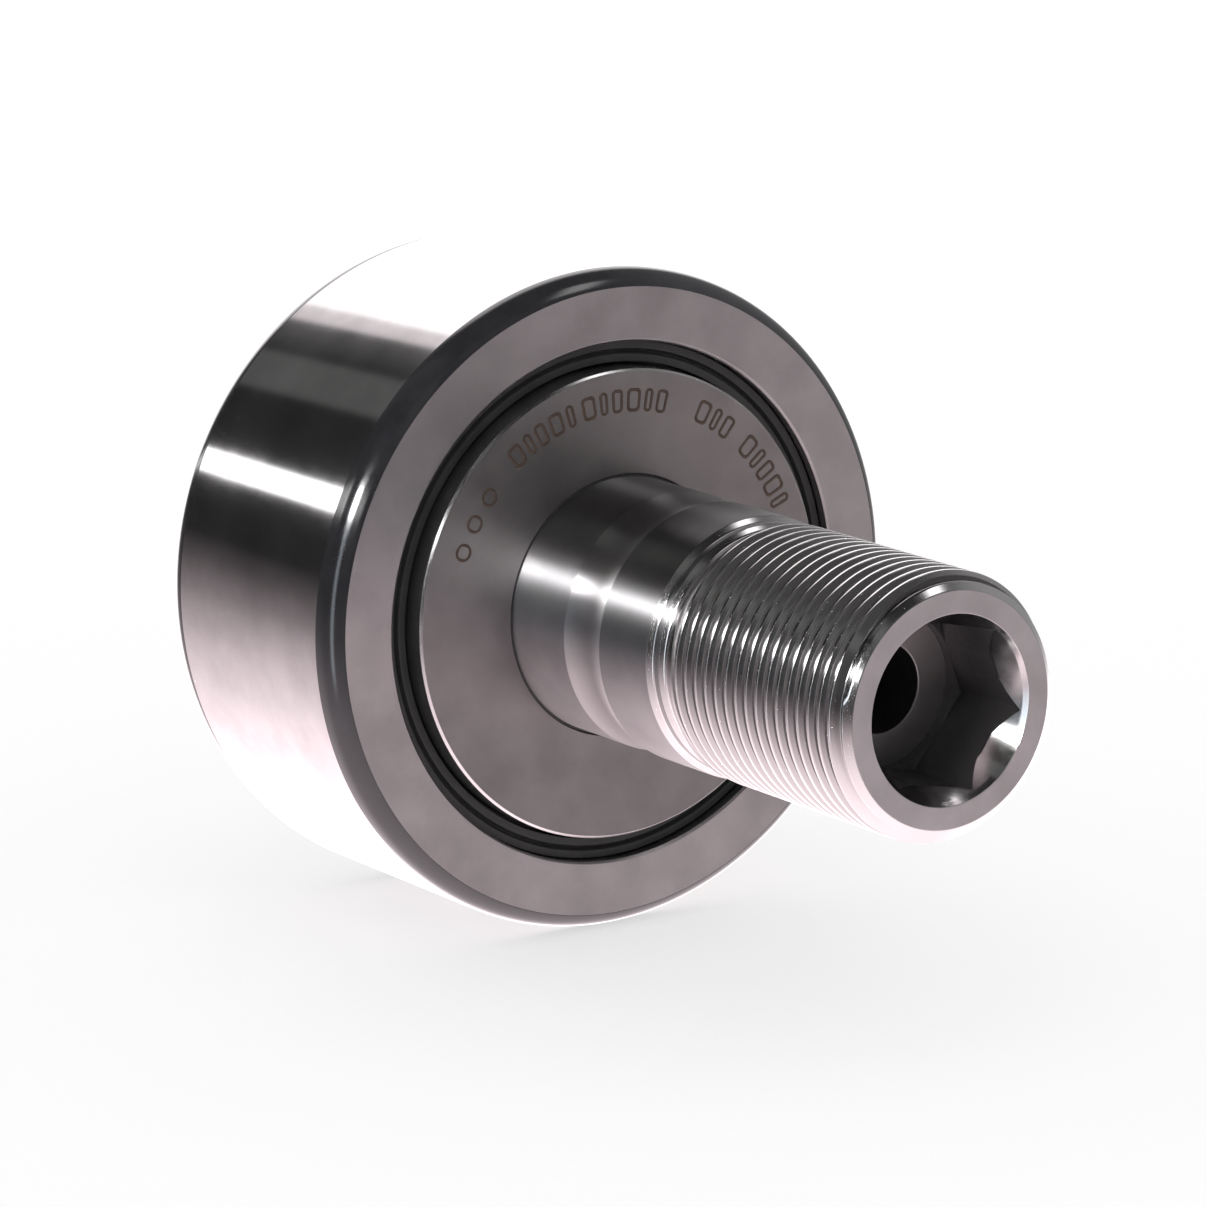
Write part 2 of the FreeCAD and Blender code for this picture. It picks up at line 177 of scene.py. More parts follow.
def arc_corners(centre, radius, start, end, steps, finish):
    """Corners along an arc in the outline's plane; angles go from +radius towards +height."""
    corners = []
    for step in range(steps + 1):
        angle = start + (end - start) * step / steps
        across = centre[0] + radius * math.cos(angle)
        along = centre[1] + radius * math.sin(angle)
        corners.append(Corner(across, along, 0.0, finish))
    return corners


def turned_mesh(name, rows, finishes, seam=None, drill=None):
    """A closed mesh from rows; seam tells which row each row meets after a full turn."""
    count = len(rows)
    grid = np.stack(rows)
    across, along = grid[..., 0], grid[..., 1]
    points = np.stack((across * np.cos(ANGLES), along, across * np.sin(ANGLES)), -1)
    vertices = [tuple(point) for point in points.reshape(-1, 3)]
    seam = seam or list(range(count))
    faces, slots = [], []
    names = sorted(set(finishes))
    skipped = drill.skipped if drill else set()
    for row in range(count):
        below = (row + 1) % count
        slot = names.index(finishes[row])
        for column in range(COLUMNS):
            if (row, column) in skipped:
                continue
            beside = (column + 1) % COLUMNS
            first, second = (row, below) if beside else (seam[row], seam[below])
            faces.append((
                row * COLUMNS + column,
                first * COLUMNS + beside,
                second * COLUMNS + beside,
                below * COLUMNS + column,
            ))
            slots.append(slot)
    if drill:
        drill.add_to(vertices, faces)
        slots += [names.index(drill.finish)] * (len(faces) - len(slots))
    return solid_object(name, vertices, faces, slots, names)


def solid_object(name, vertices, faces, slots, finishes):
    """A smooth mesh object with repeated points merged and its normals outwards."""
    mesh = bpy.data.meshes.new(name)
    mesh.from_pydata(vertices, [], faces)
    for finish in finishes:
        mesh.materials.append(FINISHES[finish])
    mesh.polygons.foreach_set("material_index", slots)
    work = bmesh.new()
    work.from_mesh(mesh)
    bmesh.ops.remove_doubles(work, verts=work.verts, dist=MERGE_DISTANCE)
    bmesh.ops.dissolve_degenerate(work, edges=work.edges, dist=DISSOLVE_DISTANCE)
    bmesh.ops.recalc_face_normals(work, faces=work.faces)
    for face in work.faces:
        face.smooth = True
    work.to_mesh(mesh)
    work.free()
    made = bpy.data.objects.new(name, mesh)
    bpy.context.scene.collection.objects.link(made)
    return made


def stand_in(piece, body, node):
    """Puts a piece on its body in place of a CAD node."""
    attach(piece, body)
    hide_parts(node)


# The stud.


def groove_radius(height):
    """Radius of the shank in the oil groove."""
    return SHANK_RADIUS + GROOVE_RISE - np.sqrt(GROOVE_ARC ** 2 - (height - GROOVE_PLACE) ** 2)


class Drill:
    """A round hole along X, in the +X side of a turned surface, with a patch that fits it in."""

    finish = "groove"
    loops = 6
    floor = 2.2 * MM
    patch = 1.25  # how far the patch reaches, in hole radii

    def __init__(self, rows, radius_at, height, radius):
        self.height, self.radius, self.radius_at = height, radius, radius_at
        margin = radius * self.patch
        heights = [float(row[0, 1]) for row in rows]
        inside = [i for i, y in enumerate(heights) if abs(y - height) < margin]
        inside = [i for i in inside if abs(float(rows[i][0, 0]) - radius_at(heights[i])) < FINE]
        low, high = inside[0], inside[-1]
        span = math.asin(margin / radius_at(height))
        columns = [c for c in range(-COLUMNS // 4, COLUMNS // 4)
                   if abs(SOCKET_TURN + c * FULL_TURN / COLUMNS) < span]
        left, right = columns[0], columns[-1]
        self.skipped = {(row, column % COLUMNS)
                        for row in range(low, high) for column in range(left, right)}
        walk = [(low, column) for column in range(left, right)]
        walk += [(row, right) for row in range(low, high)]
        walk += [(high, column) for column in range(right, left, -1)]
        walk += [(row, left) for row in range(high, low, -1)]
        self.border = [row * COLUMNS + column % COLUMNS for row, column in walk]

    def add_to(self, vertices, faces):
        """Adds loops from the patch's border to the hole's edge, the hole's wall and its floor."""
        start = np.array([vertices[index] for index in self.border])
        outer = np.stack((start[:, 2], start[:, 1] - self.height), -1)
        circle = outer / np.linalg.norm(outer, axis=-1, keepdims=True) * self.radius
        loop = self.border
        for step in range(1, self.loops + 1):
            flat = outer + (circle - outer) * step / self.loops
            radius = self.radius_at(flat[:, 1] + self.height)
            depth = np.sqrt(radius ** 2 - flat[:, 0] ** 2)
            loop = self.join(vertices, faces, loop, flat, depth)
        edge = depth
        for depth in (edge - FINE, np.full_like(edge, self.floor)):
            loop = self.join(vertices, faces, loop, circle, depth)
        faces.append(tuple(loop))

    def join(self, vertices, faces, loop, flat, depth):
        """Adds one more loop of points and the faces between it and the loop before."""
        first = len(vertices)
        for (across, along), x in zip(flat, depth):
            vertices.append((x, along + self.height, across))
        new = list(range(first, len(vertices)))
        for index, here in enumerate(loop):
            after = (index + 1) % len(loop)
            faces.append((here, loop[after], new[after], new[index]))
        return new


def hexagon_radius():
    """Distance from the axis to the wall of a hexagon broached in a bore, for each column."""
    side = FULL_TURN / 6
    wall = SOCKET_HALF / np.cos((ANGLES - SOCKET_TURN) % side - side / 2)
    return np.maximum(wall, SOCKET_BORE)


def socket_corners(face, inward, finish):
    """The outline from the axial oil hole out to a hexagon socket's mouth."""
    wall = hexagon_radius()
    floor = face + SOCKET_DEPTH * inward
    runout = floor - SOCKET_RUNOUT * inward
    seat_floor = floor + NIPPLE_DEPTH * inward
    drill_point = (NIPPLE_RADIUS - OIL_HOLE_RADIUS) / math.tan(DRILL_POINT)
    slope = (MOUTH_CONE - MOUTH_CHAMFER) / (THROAT_RADIUS - SOCKET_BORE)
    meeting = face + (MOUTH_CHAMFER + (THROAT_RADIUS - wall) * slope) * inward
    return [
        Corner(OIL_HOLE_RADIUS, seat_floor + drill_point * inward, 0.05 * MM, "bore"),
        Corner(NIPPLE_RADIUS, seat_floor, 0.05 * MM, "bore"),
        Corner(NIPPLE_RADIUS, floor, 0.12 * MM, "socket_floor"),
        Corner(SOCKET_BORE - FINE, floor, 0.05 * MM, "socket"),
        Corner(SOCKET_BORE - FINE, runout + FINE * inward, 0, "socket"),
        Corner(SOCKET_BORE - FINE, runout, 0, "ledge"),
        Corner(wall, runout, 0, "socket"),
        Corner(wall, runout - FINE * inward, 0, "socket"),
        Corner(wall, meeting, 0.04 * MM, "mouth"),
        Corner(THROAT_RADIUS, face + MOUTH_CHAMFER * inward, 0.03 * MM, "mouth"),
        Corner(MOUTH_RADIUS, face, 0.03 * MM, finish),
    ]


def stud_corners():
    """The stud's outline from the thread relief, over the head and through the bore, to the end."""
    relief_end = END_FACE + THREAD_LENGTH + RELIEF_WIDTH
    shank_end = relief_end + STEP_WIDTH
    half_angle = math.asin(GROOVE_HALF / GROOVE_ARC)
    groove = arc_corners(
        (SHANK_RADIUS + GROOVE_RISE, GROOVE_PLACE), GROOVE_ARC,
        math.pi + half_angle, math.pi - half_angle, GROOVE_STEPS, "groove")
    groove[-1].finish = "shank"
    groove[0].reach = groove[-1].reach = 0.05 * MM
    outside = [
        Corner(RELIEF_RADIUS, relief_start(), 0, "relief"),
        Corner(RELIEF_RADIUS, relief_end - (STEP_RADIUS - RELIEF_RADIUS), 0.15 * MM, "relief"),
        Corner(STEP_RADIUS, relief_end, 0.05 * MM, "shank"),
        Corner(STEP_RADIUS, shank_end - (SHANK_RADIUS - STEP_RADIUS), 0.12 * MM, "relief"),
        Corner(SHANK_RADIUS, shank_end, 0.05 * MM, "shank"),
        *groove,
        Corner(SHANK_RADIUS, WASHER_FRONT + SEAT_UNDERCUT, 0.02 * MM, "side"),
        Corner(SEAT_RADIUS, WASHER_FRONT + SEAT_UNDERCUT, 0, "hidden"),
        Corner(SEAT_RADIUS, WASHER_BACK, 0, "hidden"),
        Corner(RACE_RADIUS, WASHER_BACK, 0, "hidden"),
        Corner(RACE_RADIUS, FLANGE_INSIDE, 0.05 * MM, "flange"),
        Corner(FLANGE_RADIUS, FLANGE_INSIDE, 0.08 * MM, "flange"),
        Corner(FLANGE_RADIUS, HEAD_FACE - EDGE_BREAK, 0.06 * MM, "flange"),
        Corner(FLANGE_RADIUS - EDGE_BREAK, HEAD_FACE, 0.06 * MM, "head_face"),
    ]
    head = socket_corners(HEAD_FACE, -1, "socket")[::-1]
    finishes = ["mouth"] * 2 + ["socket"] * 5 + ["socket_floor"] + ["bore"] * 3
    for corner, finish in zip(head, finishes):
        corner.finish = finish
    end = socket_corners(END_FACE, 1, "end_face")
    last = [
        Corner(END_RADIUS, END_FACE, 0.06 * MM, "thread"),
        Corner(END_RADIUS + END_CHAMFER, END_FACE + END_CHAMFER, 0, "thread"),
    ]
    return outside + head + end + last


def relief_start():
    """Where the thread relief is at its full depth, nearest the thread."""
    return END_FACE + THREAD_LENGTH + (CREST_RADIUS - RELIEF_RADIUS) + RELIEF_LEAD


def thread_section():
    """One pitch of the thread from the middle of a root, as (radius, height) pairs."""
    flank = (CREST_RADIUS - ROOT_RADIUS) * math.tan(FLANK_ANGLE)
    low, high = ROOT_FLAT / 2, ROOT_FLAT / 2 + flank
    half = []
    for radius, height, side in ((ROOT_RADIUS, low, 1), (CREST_RADIUS, high, -1)):
        lean = Vector((CREST_RADIUS - ROOT_RADIUS, flank)).normalized() * THREAD_ROUND
        before = Vector((radius, height)) - (Vector((0, THREAD_ROUND)) if side > 0 else lean)
        after = Vector((radius, height)) + (lean if side > 0 else Vector((0, THREAD_ROUND)))
        middle = (before + after) / 4 + Vector((radius, height)) / 2
        half += [before, middle, after]
    inner = [half[2].lerp(half[3], part) for part in (0.05, 0.95)]
    rising = [Vector((ROOT_RADIUS, 0))] + half[:3] + inner + half[3:]
    crest = [Vector((CREST_RADIUS, PITCH / 2))]
    falling = [Vector((point.x, PITCH - point.y)) for point in reversed(rising[1:])]
    return rising + crest + falling


def thread_rows(low, high):
    """Rows that follow the helix between two heights, held inside the turned blank."""
    section = thread_section()
    count = len(section)
    turns = math.ceil((high - low) / PITCH) + 3
    chamfer_top = END_FACE + CREST_RADIUS - END_RADIUS
    thread_top = END_FACE + THREAD_LENGTH
    blank_heights = [END_FACE, chamfer_top, thread_top, thread_top + CREST_RADIUS - RELIEF_RADIUS]
    blank_radii = [END_RADIUS, CREST_RADIUS, CREST_RADIUS, RELIEF_RADIUS]
    rows = []
    for turn in range(turns):
        for point in section:
            height = END_FACE - PITCH + turn * PITCH + point.y - PITCH * ANGLES / FULL_TURN
            held = np.clip(height, low, high)
            blank = np.interp(held, blank_heights, blank_radii)
            radius = np.where(height == held, np.minimum(point.x, blank), blank)
            rows.append(np.stack((radius, held), -1))
    seam = [max(row - count, 0) for row in range(len(rows))]
    return rows, seam


def make_stud():
    """The turned stud: its outline, closed by the thread's helix, with the oil hole drilled in."""
    rows, finishes = outline_rows(stud_corners())
    drill = Drill(rows, groove_radius, GROOVE_PLACE, OIL_HOLE_RADIUS)
    low, high = float(rows[-1][0, 1]), float(rows[0][0, 1])
    helix, seam = thread_rows(low, high)
    seam = list(range(len(rows))) + [len(rows) + row for row in seam]
    rows += helix
    finishes += ["thread"] * len(helix)
    stud = turned_mesh("stud_body", rows, finishes, seam, drill)
    stand_in(stud, "stud", "stud")


def make_washer():
    """The outline starts and ends on the front face, near the bore."""
    inner, outer = SEAT_RADIUS, WASHER_RADIUS
    front, back = WASHER_FRONT, WASHER_BACK
    rows, finishes = outline_rows([
        Corner(inner * 1.2, front, 0, "washer"),
        Corner(outer - RIM_BREAK, front, 0.03 * MM, "rim"),
        Corner(outer, front + RIM_BREAK, 0.03 * MM, "side"),
        Corner(outer, back - EDGE_BREAK, 0.05 * MM, "side"),
        Corner(outer - EDGE_BREAK, back, 0.05 * MM, "hidden"),
        Corner(inner, back, 0.02 * MM, "side"),
        Corner(inner, front, 0.02 * MM, "washer"),
        Corner(inner * 1.1, front, 0, "washer"),
    ])
    stand_in(turned_mesh("washer", rows, finishes), "stud", "flange_washer")


# The roller.


def make_outer_ring():
    """The thick ring: raceway, recesses, faces, rounded dark edges and the tread."""
    radius = (EDGE_DROP ** 2 + EDGE_WIDTH ** 2) / (2 * EDGE_DROP)
    swing = math.asin(EDGE_WIDTH / radius)
    centre = TREAD_RADIUS - radius
    middle = (RING_NEAR + RING_FAR) / 2
    near = arc_corners((centre, RING_NEAR + EDGE_WIDTH), radius, -swing, 0, ARC_STEPS, "edge")
    far = arc_corners((centre, RING_FAR - EDGE_WIDTH), radius, 0, swing, ARC_STEPS, "edge")
    near[0].reach = far[-1].reach = 0.05 * MM
    near[-1].finish = "tread"
    far[-1].finish = "ring_face"
    mouth, chamfer = RECESS_RADIUS + RECESS_CHAMFER, RECESS_CHAMFER
    rows, finishes = outline_rows([
        Corner(RACEWAY_RADIUS, middle, 0, "hidden"),
        Corner(RACEWAY_RADIUS, RING_NEAR + RECESS_DEPTH, 0.05 * MM, "hidden"),
        Corner(RECESS_RADIUS, RING_NEAR + RECESS_DEPTH, 0.05 * MM, "hidden"),
        Corner(RECESS_RADIUS, RING_NEAR + chamfer, 0.03 * MM, "ring_face"),
        Corner(mouth, RING_NEAR, 0.03 * MM, "ring_face"),
        *near,
        Corner(TREAD_RADIUS, middle, 0, "tread"),
        *far,
        Corner(mouth, RING_FAR, 0.03 * MM, "ring_face"),
        Corner(RECESS_RADIUS, RING_FAR - chamfer, 0.03 * MM, "hidden"),
        Corner(RECESS_RADIUS, RING_FAR - RECESS_DEPTH, 0.05 * MM, "hidden"),
        Corner(RACEWAY_RADIUS, RING_FAR - RECESS_DEPTH, 0.05 * MM, "hidden"),
    ])
    stand_in(turned_mesh("roller", rows, finishes), "roller", "outer_ring")


def make_sliding_ring(node, piece, outward):
    """An angle ring whose lip, with a fine groove in its face, points outward."""
    low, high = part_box(node)
    outer = high.x
    leg_back, lip_face = (low.y, high.y) if outward > 0 else (high.y, low.y)
    leg_face = leg_back + LEG_THICKNESS * outward
    inner = WASHER_RADIUS - LEG_OVERLAP
    middle = (LIP_RADIUS + outer) / 2
    half, reach = LIP_GROOVE / 2, 0.06 * MM
    rows, finishes = outline_rows([
        Corner(middle, leg_back, 0, "seal"),
        Corner(inner, leg_back, reach, "seal"),
        Corner(inner, leg_face, reach, "seal"),
        Corner(LIP_RADIUS, leg_face, reach, "seal"),
        Corner(LIP_RADIUS, lip_face, reach, "seal"),
        Corner(middle - half, lip_face, reach, "seal"),
        Corner(middle, lip_face - LIP_GROOVE * outward, reach, "seal"),
        Corner(middle + half, lip_face, reach, "seal"),
        Corner(outer, lip_face, reach, "seal"),
        Corner(outer, leg_back, reach, "seal"),
    ])
    stand_in(turned_mesh(piece, rows, finishes), "roller", node)


# The grease nipple in the head's socket.

COLLAR_HEIGHT = 1.4 * MM
FUNNEL_RADIUS = 3.1 * MM
NIPPLE_THROAT = 0.9 * MM
THROAT_LENGTH = 0.3 * MM
SEAT_CONE = 0.9 * MM
CHAMBER_RADIUS = 2.1 * MM
CHAMBER_DEPTH = 4.3 * MM
FOOT_THICKNESS = 0.9 * MM
OUTLET_RADIUS = 1 * MM


def make_nipple():
    """The nipple's body: collar, funnel, throat, and the chamber for the ball and spring."""
    foot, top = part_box("nipple_body")[0].y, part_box("nipple_body")[1].y
    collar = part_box("nipple_body")[1].x
    back = top - COLLAR_HEIGHT
    chamber_floor = foot + FOOT_THICKNESS
    chamber_top = chamber_floor + CHAMBER_DEPTH
    throat = chamber_top + SEAT_CONE
    rows, finishes = outline_rows([
        Corner((collar + FUNNEL_RADIUS) / 2, top, 0, "nipple"),
        Corner(FUNNEL_RADIUS, top, 0.08 * MM, "nipple"),
        Corner(NIPPLE_THROAT, throat + THROAT_LENGTH, 0.05 * MM, "nipple"),
        Corner(NIPPLE_THROAT, throat, 0.05 * MM, "nipple"),
        Corner(CHAMBER_RADIUS, chamber_top, 0.05 * MM, "nipple"),
        Corner(CHAMBER_RADIUS, chamber_floor, 0.05 * MM, "nipple"),
        Corner(OUTLET_RADIUS, chamber_floor, 0.05 * MM, "nipple"),
        Corner(OUTLET_RADIUS, foot, 0.05 * MM, "nipple"),
        Corner(NIPPLE_RADIUS, foot, 0.05 * MM, "nipple"),
        Corner(NIPPLE_RADIUS, back, 0.02 * MM, "nipple"),
        Corner(collar, back, 0.05 * MM, "nipple"),
        Corner(collar, top - EDGE_BREAK, 0.06 * MM, "nipple"),
        Corner(collar - EDGE_BREAK, top, 0.06 * MM, "nipple"),
    ])
    stand_in(turned_mesh("nipple", rows, finishes), "stud", "nipple_body")


WIRE_RADIUS = 0.175 * MM
WIRE_SIDES = 12
SPRING_PITCH = 0.6 * MM
STEPS_PER_TURN = 32


def make_spring():
    """The spring in the nipple, a coil of round wire at rest length in the CAD spring's place."""
    low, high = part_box("nipple_spring")
    coil = high.x - WIRE_RADIUS
    start, rise = low.y + WIRE_RADIUS, high.y - low.y - 2 * WIRE_RADIUS
    around, steps = WIRE_SIDES, round(rise / SPRING_PITCH * STEPS_PER_TURN)
    vertices = []
    for step in range(steps + 1):
        turn = -FULL_TURN * rise / SPRING_PITCH * step / steps
        for side in range(around):
            angle = FULL_TURN * side / around
            radius = coil + WIRE_RADIUS * math.cos(angle)
            height = start + rise * step / steps + WIRE_RADIUS * math.sin(angle)
            vertices.append((radius * math.cos(turn), height, radius * math.sin(turn)))
    faces = [tuple(range(around)), tuple(range(steps * around, (steps + 1) * around))]
    for step in range(steps):
        for side in range(around):
            here, beside = step * around + side, step * around + (side + 1) % around
            faces.append((here, beside, beside + around, here + around))
    spring = solid_object("spring", vertices, faces, [0] * len(faces), ["needle"])
    stand_in(spring, "stud", "nipple_spring")
    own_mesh(spring)


# Generic index marks on the washer's face: outlined bars and small circles, no lettering.

MARK_PROUD = 0.012 * MM
MARK_LINE = 0.3 * MM
MARK_BEND_STEPS = 8
BARS = (
    # first angle (degrees), radius and count
    (127, 19.1 * MM, 5),
    (101, 19.1 * MM, 6),
    (62, 19.3 * MM, 3),
    (43, 19.4 * MM, 5),
)
BAR_WIDTHS = (1.5 * MM, 0.9 * MM, 1.2 * MM)
BAR_HEIGHT = 2.2 * MM
BAR_ROUNDNESS = 0.45 * MM
BAR_GAP = 0.9 * MM
CIRCLE_ANGLES = (158, 149.5, 141)
CIRCLE_RADIUS = 18.7 * MM
CIRCLE_SIZE = 1.7 * MM


def mark_outline(radius, angle, width, height, roundness, vertices, faces):
    """One closed outline of a rounded bar, as a thin raised line on the washer's face."""
    loops = []
    for inset in (0.0, MARK_LINE):
        half_width, half_height = width / 2 - inset, height / 2 - inset
        curve = max(min(roundness, half_width, half_height) - inset / 2, 0.05 * MM)
        loop = []
        for quarter in range(4):
            turn = quarter * math.pi / 2
            side_x = 1 if quarter in (0, 3) else -1
            side_y = 1 if quarter in (0, 1) else -1
            for step in range(MARK_BEND_STEPS + 1):
                bend = turn + step / MARK_BEND_STEPS * math.pi / 2
                across = side_x * (half_width - curve) + curve * math.cos(bend)
                up = side_y * (half_height - curve) + curve * math.sin(bend)
                place = angle - across / radius
                loop.append(((radius + up) * math.cos(place), (radius + up) * math.sin(place)))
        loops.append(loop)
    count = len(loops[0])
    first = len(vertices)
    for depth in (WASHER_FRONT - MARK_PROUD, WASHER_FRONT + MARK_PROUD):
        for loop in loops:
            vertices += [(x, depth, z) for x, z in loop]
    outer_top, inner_top, outer_low, inner_low = (first + count * block for block in range(4))
    for pair in ((outer_top, inner_top), (inner_top, inner_low),
                 (inner_low, outer_low), (outer_low, outer_top)):
        for index in range(count):
            after = (index + 1) % count
            faces.append((pair[0] + index, pair[0] + after, pair[1] + after, pair[1] + index))


def make_marks():
    """Four groups of bars and three circles round the washer."""
    vertices, faces = [], []
    for start, radius, count in BARS:
        angle = math.radians(start)
        for index in range(count):
            width = BAR_WIDTHS[index % len(BAR_WIDTHS)]
            following = BAR_WIDTHS[(index + 1) % len(BAR_WIDTHS)]
            mark_outline(radius, angle, width, BAR_HEIGHT, BAR_ROUNDNESS, vertices, faces)
            angle -= (width + following + BAR_GAP) / 2 / radius
    for place in CIRCLE_ANGLES:
        mark_outline(CIRCLE_RADIUS, math.radians(place), CIRCLE_SIZE, CIRCLE_SIZE,
                     CIRCLE_SIZE / 2, vertices, faces)
    marks = solid_object("index_marks", vertices, faces, [0] * len(faces), ["mark"])
    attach(marks, "stud")


# Materials. Noise scales are per millimetre.

TOOL_MARKS = 9.0
TOOL_WAVES = 2.0
STEEL_CLOUDS = 0.16
STEEL_SPECKS = 7.0
STEEL_BUMP = 0.002 * MM
COATING_CLOUDS = 0.4
COATING_SPECKS = 6.0
COATING_BUMP = 0.003 * MM


class Nodes:
    """A node tree with short calls for the nodes that the materials and the world use."""

    def __init__(self, tree):
        self.tree = tree

    def add(self, kind, **settings):
        node = self.tree.nodes.new(kind)
        for name, value in settings.items():
            setattr(node, name, value)
        return node

    def put(self, source, target):
        """Links an output to an input, or sets the input to a plain value."""
        if isinstance(source, bpy.types.NodeSocket):
            self.tree.links.new(source, target)
        else:
            target.default_value = source

    def math(self, operation, *values):
        node = self.add("ShaderNodeMath", operation=operation)
        for value, target in zip(values, node.inputs):
            self.put(value, target)
        return node.outputs[0]

    def vector_math(self, operation, first, second):
        node = self.add("ShaderNodeVectorMath", operation=operation)
        self.put(first, node.inputs[0])
        self.put(second, node.inputs[1])
        return node.outputs[0]

    def tinted(self, level, colour):
        """A level, or a grey, times a colour."""
        return self.vector_math("MULTIPLY", level, colour)

    def span(self, value, low, high, start=0.0, end=1.0, smooth=True):
        """Maps low to high onto start to end, and holds the ends."""
        kind = "SMOOTHSTEP" if smooth else "LINEAR"
        node = self.add("ShaderNodeMapRange", interpolation_type=kind)
        for index, item in enumerate((value, low, high, start, end)):
            self.put(item, node.inputs[index])
        return node.outputs[0]

    def split(self, vector):
        node = self.add("ShaderNodeSeparateXYZ")
        self.put(vector, node.inputs[0])
        return node.outputs

    def join(self, *values):
        node = self.add("ShaderNodeCombineXYZ")
        for value, target in zip(values, node.inputs):
            self.put(value, target)
        return node.outputs[0]

    def noise(self, vector, scale, detail, roughness):
        node = self.add("ShaderNodeTexNoise")
        self.put(vector, node.inputs["Vector"])
        self.put(scale, node.inputs["Scale"])
        self.put(detail, node.inputs["Detail"])
        self.put(roughness, node.inputs["Roughness"])
        return node.outputs[0]

    def ramp(self, value, stops):
        """A colour ramp; stops are (position, colour)."""
        node = self.add("ShaderNodeValToRGB")
        self.put(value, node.inputs[0])
        elements = node.color_ramp.elements
        while len(elements) < len(stops):
            elements.new(0.5)
        for element, (position, colour) in zip(elements, stops):
            element.position = position
            element.color = (*colour, 1.0)
        return node.outputs[0]

    def blended(self, first, second, share):
        """Two levels added up, with the second one's share of the sum."""
        return self.math(
            "ADD", self.math("MULTIPLY", first, 1 - share), self.math("MULTIPLY", second, share))

    def bump(self, height, strength, distance, normal=None):
        node = self.add("ShaderNodeBump")
        self.put(strength, node.inputs["Strength"])
        self.put(distance, node.inputs["Distance"])
        self.put(height, node.inputs["Height"])
        if normal is not None:
            self.put(normal, node.inputs["Normal"])
        return node.outputs[0]


def new_material(name):
    material = bpy.data.materials.new(name)
    material.use_nodes = True
    nodes = Nodes(material.node_tree)
    shader = next(n for n in material.node_tree.nodes if n.type == "BSDF_PRINCIPLED")
    return material, nodes, shader


def lathe_space(nodes):
    """(position, radius, angle, height along the axis) of a point, in millimetres and radians."""
    position = nodes.add("ShaderNodeTexCoord").outputs["Object"]
    scaled = nodes.add("ShaderNodeVectorMath", operation="SCALE")
    nodes.put(position, scaled.inputs[0])
    nodes.put(1 / MM, scaled.inputs["Scale"])
    x, y, z = nodes.split(scaled.outputs[0])
    squares = nodes.math("ADD", nodes.math("MULTIPLY", x, x), nodes.math("MULTIPLY", z, z))
    return scaled.outputs[0], nodes.math("SQRT", squares), nodes.math("ARCTAN2", z, x), y


def metal(name, colour, roughness, marks="along", spread=0.05, stain=0.12, grain=0.5, lines=0.5,
          stretched=False):
    """Machined steel.

    marks says whether the tool marks step along the axis or across the face. spread is how far
    the roughness varies, and stain how far the colour does. grain and lines are the strengths of
    the fine specks and of the tool marks. stretched is for fine marks round the axis.
    """
    material, nodes, shader = new_material(name)
    place, radius, angle, height = lathe_space(nodes)
    step = height if marks == "along" else radius
    track = nodes.join(
        nodes.math("MULTIPLY", step, TOOL_MARKS), nodes.math("MULTIPLY", angle, TOOL_WAVES), 0.0)
    tool_marks = nodes.noise(track, 1.0, 4.0, 0.7)
    cloud = nodes.noise(place, STEEL_CLOUDS, 4.0, 0.6)
    specks = nodes.noise(place, STEEL_SPECKS, 3.0, 0.7)
    dark = [part * (1 - stain) for part in colour]
    light = [min(part * (1 + stain / 2), 1.0) for part in colour]
    mixed = nodes.blended(cloud, specks, 0.1)
    nodes.put(nodes.ramp(mixed, ((0.35, dark), (0.65, light))), shader.inputs["Base Color"])
    wear = nodes.blended(cloud, specks, 0.2)
    uneven = nodes.span(wear, 0.3, 0.7, roughness - spread, roughness + spread)
    nodes.put(uneven, shader.inputs["Roughness"])
    if lines or grain:
        fine = nodes.bump(tool_marks, lines, STEEL_BUMP)
        nodes.put(nodes.bump(specks, grain, STEEL_BUMP, fine), shader.inputs["Normal"])
    if stretched:
        stretch_highlights(nodes, shader)
    shader.inputs["Metallic"].default_value = 1.0
    return material


def stretch_highlights(nodes, shader):
    """Draws highlights out along the axis, as fine marks round it do."""
    shader.inputs["Anisotropic"].default_value = 1.0
    nodes.put(nodes.join(0.0, 1.0, 0.0), shader.inputs["Tangent"])


def oil_groove():
    """The oil groove's steel, rougher on the wall that faces the washer; its colour is a painted
    sheen on that wall and painted shade towards the groove's middle.
    """
    material, nodes, shader = new_material("turned_groove_painted_sheen_and_shade")
    height = lathe_space(nodes)[3]
    edge, middle = (GROOVE_PLACE - GROOVE_HALF) / MM, GROOVE_PLACE / MM
    nodes.put(nodes.span(height, edge, middle, *GROOVE_ROUGHNESS), shader.inputs["Roughness"])
    # painted sheen and shade: lighter at the groove's edge, darker towards its middle
    shades = zip((0.0, 1.0), GROOVE_PAINTED_SHEEN_AND_SHADE)
    shade = nodes.ramp(nodes.span(height, edge, middle), list(shades))
    nodes.put(shade, shader.inputs["Base Color"])
    stretch_highlights(nodes, shader)
    shader.inputs["Metallic"].default_value = 1.0
    return material


